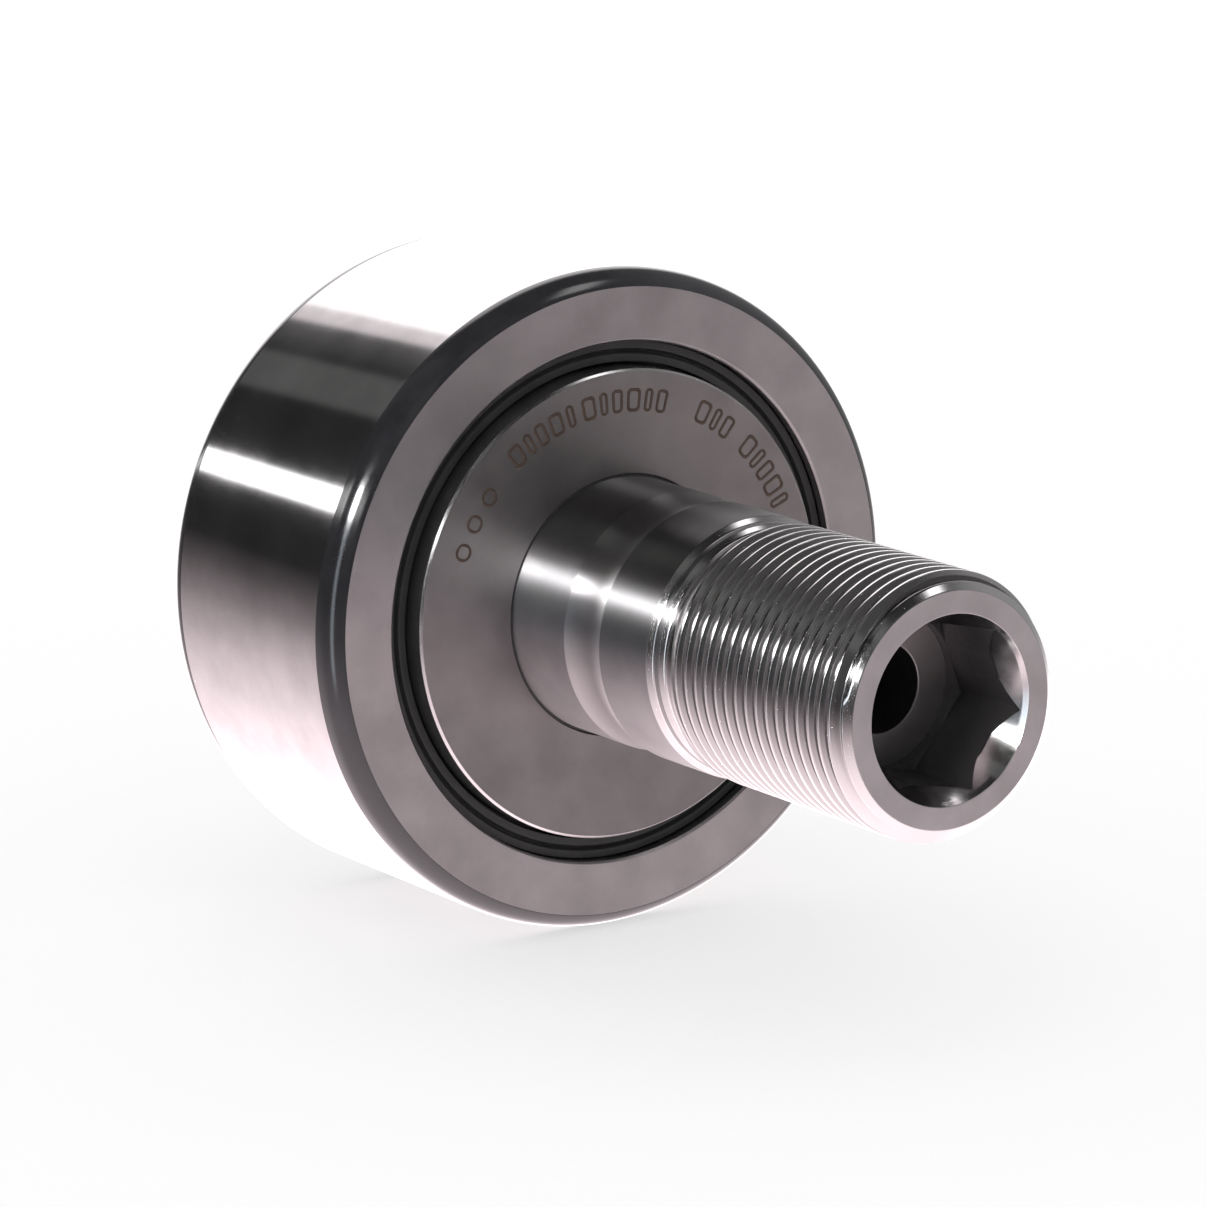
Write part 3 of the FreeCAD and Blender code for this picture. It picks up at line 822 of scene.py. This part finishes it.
def cut_thread_painted_shade():
    """A thread with polished crests and end chamfer, whose colour darkens with depth: painted
    shade, slight on the flanks and deep in the dull dark roots.
    """
    material, nodes, shader = new_material("cut_thread_painted_shade")
    _, radius, _, height = lathe_space(nodes)
    cone = nodes.math("SUBTRACT", height, (END_FACE - END_RADIUS) / MM)
    blank = nodes.math("MINIMUM", cone, CREST_RADIUS / MM)
    depth = nodes.math("SUBTRACT", blank, radius)
    shades = [(place, colour) for place, colour, _ in THREAD_DEPTHS_AND_PAINTED_SHADE]
    polish = [(place, (roughness,) * 3) for place, _, roughness in THREAD_DEPTHS_AND_PAINTED_SHADE]
    # painted shade: the colour ramp darkens the thread with depth, most in the roots
    nodes.put(nodes.ramp(depth, shades), shader.inputs["Base Color"])
    nodes.put(nodes.ramp(depth, polish), shader.inputs["Roughness"])
    shader.inputs["Metallic"].default_value = 1.0
    return material


def coating(name, colour, roughness, index, grain=0.3):
    """A dark skin that isn't bare metal: blackened steel, plastic or an etched mark; also
    near-black painted shade in the socket, ledge, bore and washer side.
    """
    material, nodes, shader = new_material(name)
    place = lathe_space(nodes)[0]
    cloud = nodes.noise(place, COATING_CLOUDS, 4.0, 0.6)
    specks = nodes.noise(place, COATING_SPECKS, 3.0, 0.7)
    dark = [part * 0.85 for part in colour]
    light = [part * 1.15 for part in colour]
    nodes.put(nodes.ramp(cloud, ((0.3, dark), (0.7, light))), shader.inputs["Base Color"])
    uneven = nodes.span(specks, 0.3, 0.7, roughness * 0.8, roughness * 1.2)
    nodes.put(uneven, shader.inputs["Roughness"])
    nodes.put(nodes.bump(specks, grain, COATING_BUMP), shader.inputs["Normal"])
    shader.inputs["Metallic"].default_value = 0.0
    shader.inputs["IOR"].default_value = index
    return material


# The oil groove from its edge on the thread's side to its middle; the colours are a painted sheen
# there and painted shade at the middle.
GROOVE_ROUGHNESS = (0.48, 0.3)
GROOVE_PAINTED_SHEEN_AND_SHADE = ((0.5, 0.485, 0.49), (0.41, 0.395, 0.4))
THREAD_DEPTHS_AND_PAINTED_SHADE = (
    # millimetres below the crests, colour and roughness there; the colour falling with depth is
    # painted shade
    (0.06, (0.58, 0.565, 0.57), 0.16),
    (0.14, (0.5, 0.485, 0.49), 0.12),
    (0.38, (0.5, 0.485, 0.49), 0.14),
    (0.48, (0.18, 0.17, 0.17), 0.5),
)
FINISHES = {
    "tread": metal("ground_tread", (0.57, 0.555, 0.56), 0.1, spread=0.01, lines=0.06, grain=0.03),
    # painted shade: the shank's ground steel is darker than the tread's, standing for the shaded
    # washer it mirrors
    "shank": metal("ground_shank_painted_shade", (0.33, 0.32, 0.325), 0.37, spread=0, lines=0, grain=0,
                   stretched=True),
    "groove": oil_groove(),
    "thread": cut_thread_painted_shade(),
    "relief": metal("turned_relief", (0.6, 0.585, 0.59), 0.17, spread=0.01, lines=0.05, grain=0.03),
    "end_face": metal("turned_end", (0.56, 0.54, 0.55), 0.4, "across", lines=0.8, grain=0.4),
    "mouth": metal("socket_mouth", (0.6, 0.58, 0.585), 0.14, "across", lines=0.2, grain=0.05),
    # painted shade: near-black skins on the socket walls and ledge, where shade falls in the hole
    "socket": coating("broached_socket_painted_shade", (0.028, 0.026, 0.027), 0.5, 1.8),
    "ledge": coating("broached_ledge_painted_shade", (0.022, 0.021, 0.022), 0.6, 1.5),
    "socket_floor": metal("socket_floor", (0.6, 0.58, 0.58), 0.4, "across", lines=1.0),
    # painted shade: near-black skin in the drilled bore, where shade falls
    "bore": coating("drilled_bore_painted_shade", (0.02, 0.019, 0.019), 0.6, 1.5),
    "washer": metal("washer_face", (0.32, 0.305, 0.305), 0.42, "across", stain=0.13, lines=0.35,
                    grain=0.3),
    "rim": metal("washer_rim", (0.6, 0.585, 0.59), 0.2, lines=0.1, grain=0.05),
    "flange": metal("turned_flange", (0.42, 0.405, 0.405), 0.3, lines=0.3, grain=0.1),
    "head_face": metal("head_face", (0.48, 0.465, 0.465), 0.4, "across", lines=0.5, grain=0.5),
    "ring_face": metal("ring_face", (0.48, 0.46, 0.465), 0.4, "across", stain=0.13, lines=0.35,
                       grain=0.5),
    "edge": coating("blackened_edge", (0.022, 0.0215, 0.025), 0.14, 1.65, grain=0.04),
    # painted shade: near-black skin on the washer's side walls and the seat at the shank's foot, in
    # the gaps between parts
    "side": coating("washer_side_painted_shade", (0.03, 0.029, 0.03), 0.4, 1.5, grain=0.1),
    "hidden": metal("inner_steel", (0.45, 0.44, 0.44), 0.3),
    "seal": coating("black_plastic", (0.025, 0.025, 0.026), 0.45, 1.5),
    "nipple": metal("plated_nipple", (0.5, 0.49, 0.47), 0.3, "across"),
    "needle": metal("needle_steel", (0.62, 0.61, 0.61), 0.12, lines=0.1, grain=0.05),
    "mark": coating("etched_mark", (0.06, 0.038, 0.028), 0.5, 1.4),
}


SHARP_ANGLE = math.radians(35)


def finish_cad_nodes():
    """Gives the CAD nodes that stay their steel."""
    for name, node in frame["nodes"].items():
        if name.startswith("needle_") or name == "nipple_ball":
            node.data.materials.clear()
            node.data.materials.append(FINISHES["needle"])
            for face in node.data.polygons:
                face.use_smooth = True
            node.data.set_sharp_from_angle(angle=SHARP_ANGLE)


# Light, floor and camera. Pairs are the parts of a direction between which a light fades.

ROOM_LEVEL = 0.03
SIDE_LEVEL = 0.35
SIDE_EDGE = (0.4, 0.9)
FRONT_LEVEL = 0.07
FRONT_EDGE = (-0.6, -0.5)
FRONT_LOW_EDGE = (-0.1, 0.1)
BACKDROP_EDGE = (0.5, 0.7)
BACKDROP_STEPS = (
    # where the white backdrop ends, how soft its edge is, its level and its tint
    (0.06, 0.006, 0.95, (1.0, 1.0, 1.0)),
    (-0.012, 0.006, 0.95, (1.0, 0.93, 0.94)),
    (-0.11, 0.08, 0.09, (1.0, 1.0, 1.0)),
)
# Long soft boxes: angle round Y, half width and soft edge (degrees), level and tint.
STRIP = (154, 4.2, 0.5, 4.0, (1.0, 1.0, 1.0))
DIM_STRIP = (115, 8, 1.5, 0.11, (0.95, 1.0, 0.96))
OVERHEAD = (64, 5, 3, 2.6, (1.0, 1.0, 1.0))
# The overhead box's place along Y, and how far from it the box fades.
OVERHEAD_PLACE = -0.32
OVERHEAD_EDGE = (0.12, 0.2)
STRIP_RUN = (
    # direction's part along Y, and how bright the bright strip is there
    (-0.78, 0.0), (-0.68, 1.0), (-0.46, 1.0), (-0.38, 14.0), (-0.16, 14.0), (-0.08, 0.1),
    (0.3, 0.1), (0.38, 1.6), (0.6, 1.0),
)
LEFT_LEVEL = 2.5
LEFT_TINT = (0.82, 0.92, 1.0)
LEFT_EDGE = (-0.86, -0.8)
LEFT_NEAR_EDGE = (-0.4, -0.32)
LEFT_FAR_EDGE = (-0.22, -0.15)
LEFT_LOW_EDGE = (-0.5, -0.3)
TABLE_TINT = (1.0, 0.86, 0.89)
TABLE_BACK = 1.5
TABLE_BACK_EDGE = (0.2, 0.6)
TABLE_GLOW = (
    # direction's part along Z, and how bright the table is there
    (-1.0, 1.9), (-0.6, 1.35), (-0.42, 0.85), (-0.3, 0.5), (-0.18, 0.2), (-0.08, 0.06), (0.0, 0.0),
)


def backdrop_lights(nodes, x, y):
    """The white backdrop behind the part, brightest on the right."""
    behind = nodes.span(y, *BACKDROP_EDGE)
    lights = []
    for edge, soft, level, tint in BACKDROP_STEPS:
        shown = nodes.span(x, edge - soft, edge + soft, 0.0, level)
        lights.append(nodes.tinted(nodes.math("MULTIPLY", shown, behind), tint))
    return lights


def long_box(nodes, turn, box):
    """A soft box that runs along Y, seen as a band round that axis."""
    angle, half, soft, level, tint = box
    off = nodes.math("ABSOLUTE", nodes.math("SUBTRACT", turn, math.radians(angle)))
    shown = nodes.span(off, math.radians(half - soft), math.radians(half + soft), level, 0.0)
    return nodes.tinted(shown, tint)


def strip_lights(nodes, turn, y):
    """The bright strip, uneven along its length, a dim one and a short one overhead."""
    brightest = max(level for _, level in STRIP_RUN)
    stops = [((place + 1) / 2, (level / brightest,) * 3) for place, level in STRIP_RUN]
    run = nodes.ramp(nodes.span(y, -1.0, 1.0, smooth=False), stops)
    strip = nodes.tinted(nodes.tinted(long_box(nodes, turn, STRIP), run), (brightest,) * 3)
    off = nodes.math("ABSOLUTE", nodes.math("SUBTRACT", y, OVERHEAD_PLACE))
    short = nodes.span(off, *OVERHEAD_EDGE, 1.0, 0.0)
    overhead = nodes.tinted(long_box(nodes, turn, OVERHEAD), short)
    return [strip, long_box(nodes, turn, DIM_STRIP), overhead]


def left_panel(nodes, x, y, z):
    """A pale bluish panel at the left, which the dark rounded edge mirrors."""
    level = nodes.span(x, *LEFT_EDGE, LEFT_LEVEL, 0.0)
    level = nodes.math("MULTIPLY", level, nodes.span(y, *LEFT_NEAR_EDGE))
    level = nodes.math("MULTIPLY", level, nodes.span(y, *LEFT_FAR_EDGE, 1.0, 0.0))
    level = nodes.math("MULTIPLY", level, nodes.span(z, *LEFT_LOW_EDGE))
    return nodes.tinted(level, LEFT_TINT)


def table_light(nodes, y, z):
    """The pale table, brightest straight below and behind."""
    brightest = TABLE_GLOW[0][1]
    stops = [(height + 1, (level / brightest,) * 3) for height, level in TABLE_GLOW]
    glow = nodes.ramp(nodes.math("ADD", z, 1.0), stops)
    back = nodes.span(y, *TABLE_BACK_EDGE, brightest, brightest * TABLE_BACK)
    return nodes.tinted(nodes.math("MULTIPLY", glow, back), TABLE_TINT)


def studio_glow(nodes):
    """What polished steel mirrors in each direction."""
    direction = nodes.add("ShaderNodeTexCoord").outputs["Generated"]
    x, y, z = nodes.split(direction)
    turn = nodes.math("ARCTAN2", z, x)
    lights = backdrop_lights(nodes, x, y) + strip_lights(nodes, turn, y)
    lights += [left_panel(nodes, x, y, z), table_light(nodes, y, z)]
    room = nodes.math("ADD", nodes.span(x, *SIDE_EDGE, 0.0, SIDE_LEVEL), ROOM_LEVEL)
    front = nodes.span(y, *FRONT_EDGE, FRONT_LEVEL, 0.0)
    front = nodes.math("MULTIPLY", front, nodes.span(z, *FRONT_LOW_EDGE))
    total = nodes.tinted(nodes.math("ADD", room, front), (1.0, 1.0, 1.0))
    for light in lights:
        total = nodes.vector_math("ADD", total, light)
    return total


def make_world():
    """White to the camera and to matt surfaces; polished ones mirror the studio."""
    world = bpy.data.worlds.new("studio")
    bpy.context.scene.world = world
    world.use_nodes = True
    world.node_tree.nodes.clear()
    nodes = Nodes(world.node_tree)
    glossy = nodes.add("ShaderNodeLightPath").outputs["Is Glossy Ray"]
    plain = nodes.add("ShaderNodeBackground")
    plain.inputs["Color"].default_value = (1.0, 1.0, 1.0, 1.0)
    mirrored = nodes.add("ShaderNodeBackground")
    nodes.put(studio_glow(nodes), mirrored.inputs["Color"])
    mix = nodes.add("ShaderNodeMixShader")
    nodes.put(glossy, mix.inputs[0])
    nodes.put(plain.outputs[0], mix.inputs[1])
    nodes.put(mirrored.outputs[0], mix.inputs[2])
    nodes.put(mix.outputs[0], nodes.add("ShaderNodeOutputWorld").inputs["Surface"])
    world.cycles.sampling_method = "NONE"


FLOOR_HALF = 4.0
FLOOR_COLOUR = (0.4, 0.4, 0.4, 1.0)
FLOOR_GLOW = 0.6


def make_floor():
    """A pale floor under the roller; the steel mirrors the studio's table instead."""
    mesh = bpy.data.meshes.new("floor")
    corners = [(-FLOOR_HALF, -FLOOR_HALF), (FLOOR_HALF, -FLOOR_HALF),
               (FLOOR_HALF, FLOOR_HALF), (-FLOOR_HALF, FLOOR_HALF)]
    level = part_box("outer_ring")[0].z
    mesh.from_pydata([(x, y, level) for x, y in corners], [], [(0, 1, 2, 3)])
    floor = bpy.data.objects.new("floor", mesh)
    bpy.context.scene.collection.objects.link(floor)
    material, _, shader = new_material("pale_floor")
    shader.inputs["Base Color"].default_value = FLOOR_COLOUR
    shader.inputs["Roughness"].default_value = 1.0
    shader.inputs["Specular IOR Level"].default_value = 0.0
    shader.inputs["Emission Color"].default_value = (1.0, 1.0, 1.0, 1.0)
    shader.inputs["Emission Strength"].default_value = FLOOR_GLOW
    mesh.materials.append(material)
    floor.visible_glossy = False


CAMERA_PLACE = (-299.8 * MM, -436.3 * MM, 119.8 * MM)
CAMERA_DIRECTION = (0.5498, 0.8057, -0.2205)
CAMERA_LENS = 176
SENSOR_WIDTH = 36


def make_camera():
    data = bpy.data.cameras.new("camera")
    data.sensor_width = SENSOR_WIDTH
    data.lens = CAMERA_LENS
    data.clip_start, data.clip_end = 0.01, 20
    camera = bpy.data.objects.new("camera", data)
    camera.location = CAMERA_PLACE
    camera.rotation_mode = "QUATERNION"
    camera.rotation_quaternion = Vector(CAMERA_DIRECTION).to_track_quat("-Z", "Y")
    bpy.context.scene.collection.objects.link(camera)
    bpy.context.scene.camera = camera


make_stud()
make_washer()
make_outer_ring()
make_sliding_ring("thread_side_sliding_ring", "near_sliding_ring", -1)
make_sliding_ring("head_side_sliding_ring", "far_sliding_ring", 1)
make_nipple()
make_spring()
make_marks()
finish_cad_nodes()
make_world()
make_floor()
make_camera()
bpy.context.scene.view_settings.view_transform = "Standard"
